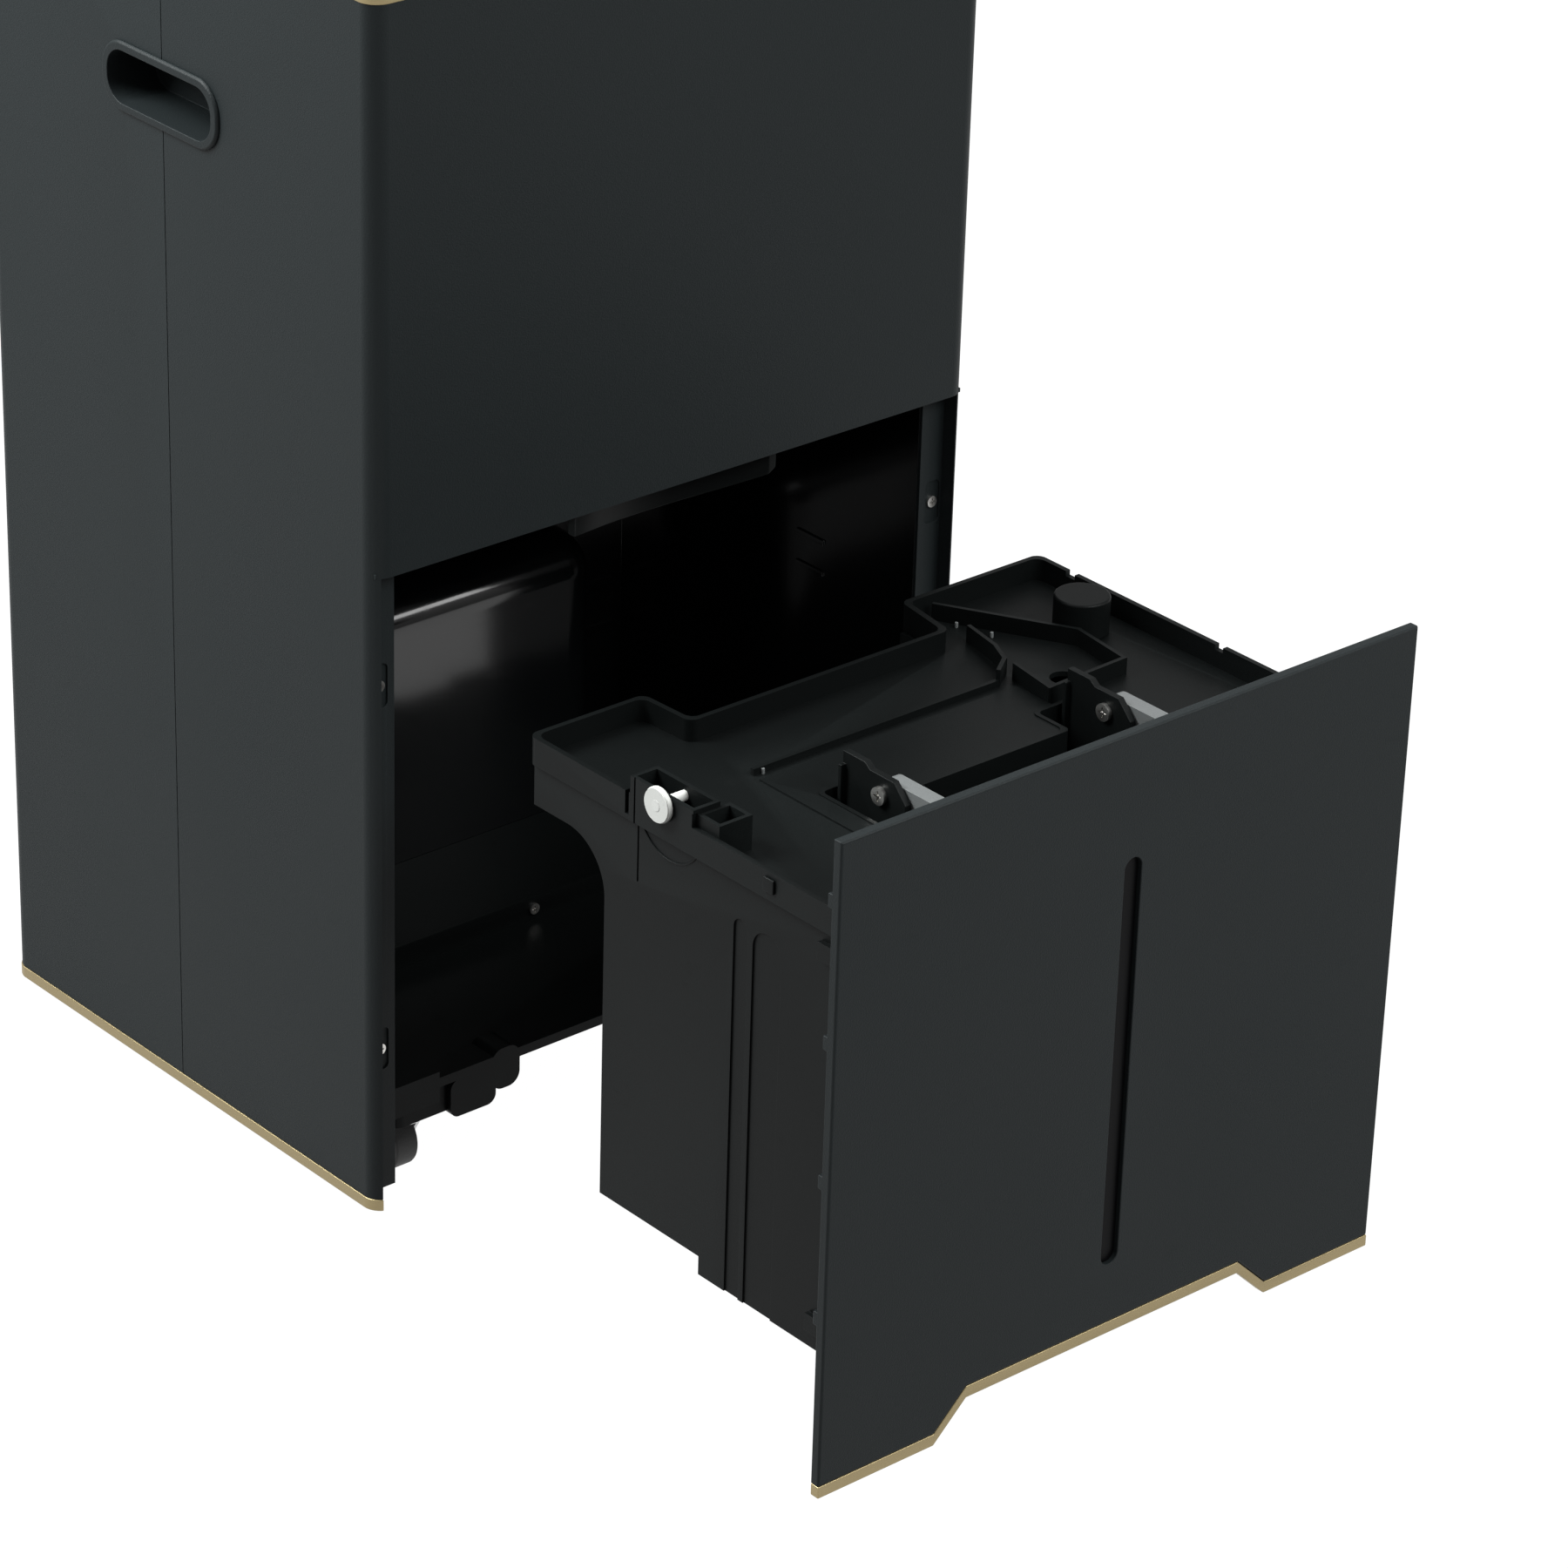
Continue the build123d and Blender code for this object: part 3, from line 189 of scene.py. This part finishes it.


# the "wear" amount in each look pales the edges, partly as wear and partly as a painted edge highlight
looks = {
    "cabinet_plastic": ("moulded", dict(
        colour=(0.0072, 0.0094, 0.0100), drift=0.10, driftScale=5.0, grainScale=1150.0,
        grainTone=0.12, grainDepth=0.00035, bump=0.35, rough=0.52, scuff=0.05, wear=0.35,
        specular=0.13,
    )),
    # colour kept darker than the cabinet's charcoal: painted shade for the shade that falls on the tank's
    # sides and lid
    "satin_black": ("moulded", dict(
        colour=(0.0032, 0.0038, 0.0038), drift=0.15, driftScale=9.0, grainScale=1500.0,
        grainTone=0.08, grainDepth=0.0002, bump=0.22, rough=0.40, scuff=0.12, wear=0.5,
        specular=0.07,
    )),
    "gloss_black": ("moulded", dict(
        colour=(0.0022, 0.0026, 0.0028), drift=0.2, driftScale=7.0, grainScale=420.0,
        grainTone=0.03, grainDepth=0.0001, bump=0.04, rough=0.13, scuff=0.10, wear=0.4, coat=0.35,
        coatRough=0.10, specular=0.4,
    )),
    "fascia_gloss": ("moulded", dict(
        colour=(0.004, 0.004, 0.005), drift=0.2, driftScale=9.0, grainScale=500.0, grainTone=0.02,
        grainDepth=0.0001, bump=0.03, rough=0.10, scuff=0.08, wear=0.2, coat=0.8, coatRough=0.04,
    )),
    "white_nylon": ("moulded", dict(
        colour=(0.46, 0.46, 0.44), drift=0.06, driftScale=40.0, grainScale=900.0, grainTone=0.04,
        grainDepth=0.0002, bump=0.15, rough=0.42, scuff=0.1, wear=0.1,
    )),
    "grey_arm": ("moulded", dict(
        colour=(0.10, 0.105, 0.105), drift=0.1, driftScale=20.0, grainScale=1100.0, grainTone=0.08,
        grainDepth=0.0002, bump=0.2, rough=0.42, scuff=0.1, wear=0.2,
    )),
    "wheel_rubber": ("moulded", dict(
        colour=(0.020, 0.020, 0.020), drift=0.2, driftScale=60.0, grainScale=700.0, grainTone=0.15,
        grainDepth=0.0004, bump=0.4, rough=0.62, scuff=0.15, wear=0.5,
    )),
    "grommet_rubber": ("moulded", dict(
        colour=(0.018, 0.018, 0.018), drift=0.2, driftScale=60.0, grainScale=800.0, grainTone=0.1,
        grainDepth=0.0003, bump=0.3, rough=0.7, scuff=0.1, wear=0.3,
    )),
    "inner_grey": ("moulded", dict(
        colour=(0.20, 0.21, 0.22), drift=0.08, driftScale=12.0, grainScale=900.0, grainTone=0.06,
        grainDepth=0.0002, bump=0.15, rough=0.5, scuff=0.1, wear=0.2,
    )),
    "board_green": ("moulded", dict(
        colour=(0.02, 0.10, 0.045), drift=0.15, driftScale=60.0, grainScale=600.0, grainTone=0.2,
        grainDepth=0.0001, bump=0.1, rough=0.35, scuff=0.1, wear=0.1,
    )),
    "float_foam": ("moulded", dict(
        colour=(0.70, 0.69, 0.64), drift=0.06, driftScale=40.0, grainScale=420.0, grainTone=0.1,
        grainDepth=0.0006, bump=0.5, rough=0.8, scuff=0.0, wear=0.0,
    )),
    "filter_mesh": ("moulded", dict(
        colour=(0.018, 0.018, 0.020), drift=0.2, driftScale=30.0, grainScale=820.0, grainTone=0.5,
        grainDepth=0.0008, bump=0.8, rough=0.75, scuff=0.0, wear=0.0,
    )),
    "compressor_paint": ("moulded", dict(
        colour=(0.014, 0.014, 0.016), drift=0.2, driftScale=14.0, grainScale=300.0, grainTone=0.05,
        grainDepth=0.0004, bump=0.2, rough=0.34, scuff=0.1, wear=0.4,
    )),
    "motor_steel": ("metal", dict(
        colour=(0.20, 0.20, 0.21), brushScale=90.0, brushStretch=(1.0, 6.0, 1.0), rough=0.45,
        bump=0.1, metal=0.6,
    )),
    "gold_trim": ("metal", dict(
        colour=(0.27, 0.215, 0.115), brushScale=70.0, brushStretch=(1.0, 1.0, 24.0), rough=0.40,
        bump=0.06, metal=0.82,
    )),
    "screw_steel": ("metal", dict(
        colour=(0.48, 0.47, 0.45), brushScale=300.0, brushStretch=(1.0, 1.0, 1.0), rough=0.32,
        bump=0.1, metal=1.0,
    )),
    "castor_steel": ("metal", dict(
        colour=(0.42, 0.42, 0.42), brushScale=160.0, brushStretch=(1.0, 1.0, 4.0), rough=0.38,
        bump=0.12, metal=1.0,
    )),
    "coil_aluminium": ("metal", dict(
        colour=(0.70, 0.71, 0.72), brushScale=120.0, brushStretch=(1.0, 6.0, 1.0), rough=0.3,
        bump=0.1, metal=1.0,
    )),
    "copper_tube": ("metal", dict(
        colour=(0.62, 0.31, 0.17), brushScale=120.0, brushStretch=(1.0, 1.0, 5.0), rough=0.3,
        bump=0.1, metal=1.0,
    )),
    "capacitor_case": ("metal", dict(
        colour=(0.62, 0.63, 0.65), brushScale=120.0, brushStretch=(1.0, 1.0, 6.0), rough=0.35,
        bump=0.1, metal=1.0,
    )),
    "smoked_window": ("glass", dict(
        colour=(0.0012, 0.0012, 0.0014), rough=0.34,
    )),
}
makers = {"moulded": mouldedPlastic, "metal": satinMetal, "glass": smokedGlass}
finishes = {slot: makers[kind](slot + "Finish", look) for slot, (kind, look) in looks.items()}
print("finishes made:", len(finishes))


def wear(piece, slot):
    piece.data.materials.clear()
    piece.data.materials.append(finishes[slot])


for nodeName, node in nodes.items():
    wear(node, slotOf[nodeName])


def onlySelected(piece):
    if bpy.context.mode != "OBJECT":
        bpy.ops.object.mode_set(mode="OBJECT")
    bpy.ops.object.select_all(action="DESELECT")
    piece.select_set(True)
    bpy.context.view_layer.objects.active = piece


def finishModifiers(piece):
    onlySelected(piece)
    for modifier in list(piece.modifiers):
        bpy.ops.object.modifier_apply(modifier=modifier.name)


def settle(piece, body, slot, *replaced):
    # puts the piece's place into its mesh, then lets it ride on its body
    onlySelected(piece)
    bpy.ops.object.transform_apply(location=True, rotation=True, scale=True)
    bpy.ops.object.shade_smooth_by_angle(angle=smoothBelow)
    evenShading = piece.modifiers.new("evenShading", "WEIGHTED_NORMAL")
    evenShading.keep_sharp = True
    evenShading.weight = 80
    finishModifiers(piece)
    wear(piece, slot)
    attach(piece, body)
    if replaced:
        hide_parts(*replaced)
    return piece


def softened(nodeName, width, segments=2):
    # a welded copy of a CAD node with its sharp edges rounded as a mould rounds them
    piece = nodes[nodeName].copy()
    piece.data = nodes[nodeName].data.copy()
    piece.parent = None
    piece.name = nodeName + "_rounded"
    for key in list(piece.keys()):
        del piece[key]
    bpy.context.scene.collection.objects.link(piece)
    onlySelected(piece)
    bpy.ops.object.mode_set(mode="EDIT")
    bpy.ops.mesh.select_all(action="SELECT")
    bpy.ops.mesh.remove_doubles(threshold=weldDistance)
    bpy.ops.mesh.dissolve_limited(angle_limit=flatWithin)
    bpy.ops.object.mode_set(mode="OBJECT")
    rounding = piece.modifiers.new("rounding", "BEVEL")
    rounding.width = width
    rounding.segments = segments
    rounding.limit_method = "ANGLE"
    rounding.angle_limit = sharpAbove
    finishModifiers(piece)
    return settle(piece, bodyOf[nodeName], slotOf[nodeName], nodeName)


roundedEdges = {
    "front_shell": 0.0009, "rear_shell": 0.0009, "top_deck": 0.0008, "outlet_flap": 0.0006,
    "grip_cup_left": 0.0009, "grip_cup_right": 0.0009, "tank_bay_liner": 0.0016,
    "scoop_lip": 0.0008, "base_pan": 0.0012, "tank_body": 0.0010, "tank_lid": 0.0008,
    "tank_front_panel": 0.0006, "panel_trim": 0.0006, "base_trim": 0.0005, "top_trim": 0.0005,
    "carry_handle": 0.0009, "bail_brackets": 0.0006, "lid_clips": 0.0005, "tank_cap": 0.0007,
    "guide_roller": 0.0004, "intake_frame": 0.0005, "filter_cassette": 0.0005,
    "power_inlet": 0.0004, "drain_spigot": 0.0005, "castor_wheel_front_left": 0.0022,
    "castor_wheel_front_right": 0.0022, "castor_wheel_rear_left": 0.0022,
    "castor_wheel_rear_right": 0.0022, "control_fascia": 0.0002, "float_arm": 0.0005,
    "tank_switch": 0.0005,
}
for nodeName, width in roundedEdges.items():
    softened(nodeName, width)
print("edges rounded:", len(roundedEdges))


def slab(name, low, high, rounding, body, slot):
    # a small moulded block between two corners, given in metres
    centre = [(a + b) / 2 for a, b in zip(low, high)]
    bpy.ops.object.select_all(action="DESELECT")
    bpy.ops.mesh.primitive_cube_add(size=1, location=centre)
    piece = bpy.context.active_object
    piece.name = name
    piece.scale = [b - a for a, b in zip(low, high)]
    bpy.ops.object.transform_apply(location=False, rotation=False, scale=True)
    soft = piece.modifiers.new("soft", "BEVEL")
    soft.width = rounding
    soft.segments = 3
    finishModifiers(piece)
    return settle(piece, body, slot)


def turned(name, at, radius, height, rounding, body, slot, axis="Z", sides=32):
    # a short round piece standing on the point given, along one axis
    turn = {"Z": (0, 0, 0), "X": (0, math.radians(90), 0), "Y": (math.radians(90), 0, 0)}[axis]
    bpy.ops.object.select_all(action="DESELECT")
    bpy.ops.mesh.primitive_cylinder_add(vertices=sides, radius=radius, depth=height,
                                        location=at, rotation=turn)
    piece = bpy.context.active_object
    piece.name = name
    soft = piece.modifiers.new("soft", "BEVEL")
    soft.width = rounding
    soft.segments = 2
    soft.limit_method = "ANGLE"
    finishModifiers(piece)
    return settle(piece, body, slot)


panelFront = -0.5405
lidDeck = 0.323

lidPosts = {
    "radius": 0.0010, "height": 0.0035,
    "spots": [(0.101, 0.247), (0.108, 0.226), (0.088, 0.186), (-0.098, 0.1775)],
}
for number, (x, depth) in enumerate(lidPosts["spots"]):
    at = (x, panelFront + depth, lidDeck + lidPosts["height"] / 2 - 0.0003)
    turned("lidPost" + str(number), at, lidPosts["radius"], lidPosts["height"], 0.0004,
           "tank", "grey_arm", sides=20)

rollerFace = {"radius": 0.0094, "thick": 0.0005, "at": (-0.1866, panelFront + 0.158, 0.340)}
turned("rollerFace", rollerFace["at"], rollerFace["radius"], rollerFace["thick"], 0.0002,
       "roller", "white_nylon", axis="X", sides=64)


def guideArc():
    # a thin raised arc below the roller, cut from a whole ring
    ring = {"at": (-0.1801, panelFront + 0.154, 0.334), "radius": 0.026, "thin": 0.0006, "drop": 0.015}
    bpy.ops.object.select_all(action="DESELECT")
    bpy.ops.mesh.primitive_torus_add(location=ring["at"], rotation=(0, math.radians(90), 0),
                                     major_segments=96, minor_segments=10,
                                     major_radius=ring["radius"], minor_radius=ring["thin"])
    piece = bpy.context.active_object
    piece.name = "guideArc"
    bpy.ops.object.transform_apply(location=True, rotation=True, scale=True)
    bpy.ops.object.mode_set(mode="EDIT")
    bpy.ops.mesh.select_all(action="SELECT")
    bpy.ops.mesh.bisect(plane_co=(0, 0, ring["at"][2] - ring["drop"]), plane_no=(0, 0, 1),
                        clear_outer=True, use_fill=True)
    bpy.ops.object.mode_set(mode="OBJECT")
    settle(piece, "tank", "satin_black")


guideArc()

panelRibs = {
    "thick": 0.0022, "deep": 0.0009, "low": 0.345, "high": 0.382,
    "columns": (-0.15, -0.09, -0.03, 0.03, 0.09, 0.15),
}
for number, x in enumerate(panelRibs["columns"]):
    back = panelFront + 0.006
    low = (x - panelRibs["thick"] / 2, back - 0.0002, panelRibs["low"])
    high = (x + panelRibs["thick"] / 2, back + panelRibs["deep"], panelRibs["high"])
    slab("panelRib" + str(number), low, high, 0.0003, "tank", "cabinet_plastic")

touchKeys = {
    "radius": 0.0046, "thick": 0.0004,
    "at": (-0.088, -0.060, 0.060, 0.088), "y": -0.1225, "z": 0.7297,
}
for number, x in enumerate(touchKeys["at"]):
    turned("touchKey" + str(number), (x, touchKeys["y"], touchKeys["z"]), touchKeys["radius"],
           touchKeys["thick"], 0.0001, "cabinet", "inner_grey")
print("details added")

cameraPlace = {
    "at": (-1.8859, -2.3975, 1.6995), "yaw": 0.7251, "pitch": 0.4719, "roll": 0.0319,
    "lens": 134.1,
}


def placeCamera():
    yaw, pitch, roll = cameraPlace["yaw"], cameraPlace["pitch"], cameraPlace["roll"]
    ahead = Vector((math.sin(yaw) * math.cos(pitch), math.cos(yaw) * math.cos(pitch), -math.sin(pitch)))
    level = Vector((math.cos(yaw), -math.sin(yaw), 0.0))
    upright = level.cross(ahead)
    right = level * math.cos(roll) + upright * math.sin(roll)
    up = upright * math.cos(roll) - level * math.sin(roll)
    lensData = bpy.data.cameras.new("camera")
    lensData.lens = cameraPlace["lens"]
    lensData.sensor_width = 36.0
    camera = bpy.data.objects.new("camera", lensData)
    turn = Matrix((right, up, -ahead)).transposed()
    camera.matrix_world = Matrix.Translation(cameraPlace["at"]) @ turn.to_4x4()
    bpy.context.scene.collection.objects.link(camera)
    bpy.context.scene.camera = camera


def areaLight(name, at, towards, size, power, colour=(1, 1, 1)):
    data = bpy.data.lights.new(name, "AREA")
    data.energy = power
    data.color = colour
    data.shape = "RECTANGLE"
    data.size, data.size_y = size
    lamp = bpy.data.objects.new(name, data)
    lamp.location = at
    lamp.rotation_euler = (Vector(towards) - Vector(at)).to_track_quat("-Z", "Y").to_euler()
    bpy.context.scene.collection.objects.link(lamp)


def studio():
    bpy.ops.object.select_all(action="DESELECT")
    bpy.ops.mesh.primitive_plane_add(size=14, location=(0, 0, 0))
    floor = bpy.context.active_object
    floor.name = "studioFloor"
    material, tree, shader, place = newMaterial("paleFloor")
    tone = place.noise(0.8)
    feed(tree, shader, colour=place.blend(tone, (0.020, 0.020, 0.020, 1), (0.026, 0.026, 0.026, 1)))
    shader.inputs["Roughness"].default_value = 0.9
    shader.inputs["Emission Color"].default_value = (1, 1, 1, 1)
    shader.inputs["Emission Strength"].default_value = 1.0
    floor.data.materials.append(material)
    floor.visible_diffuse = False
    world = bpy.data.worlds.new("studioWorld")
    world.use_nodes = True
    tree = world.node_tree
    direction = Signal(tree, tree.nodes.new("ShaderNodeTexCoord").outputs["Generated"])
    upwards = direction.add("ShaderNodeSeparateXYZ", {}, {0: direction}, 2)
    strength = upwards.clipped(-0.25, 0.45) * 0.62 + 0.03
    background = tree.nodes["Background"]
    background.inputs["Color"].default_value = (1, 1, 1, 1)
    tree.links.new(strength.socket, background.inputs["Strength"])
    bpy.context.scene.world = world
    areaLight("keyFromLeft", (-1.05, 0.65, 1.65), (-0.2, 0.05, 0.65), (0.9, 0.9), 84, (0.96, 1.0, 1.0))
    areaLight("topSoft", (0.2, 0.6, 2.6), (0, -0.3, 0.3), (2.2, 2.2), 35)
    areaLight("frontFill", (0.5, -2.1, 2.1), (0.1, -0.2, 0.7), (1.2, 0.9), 58, (0.96, 1.0, 1.0))
    areaLight("bayStrip", (1.35, -1.85, 1.30), (-0.05, 0.03, 0.25), (1.3, 0.35), 9)


placeCamera()
studio()
bpy.context.scene.view_settings.view_transform = "Standard"
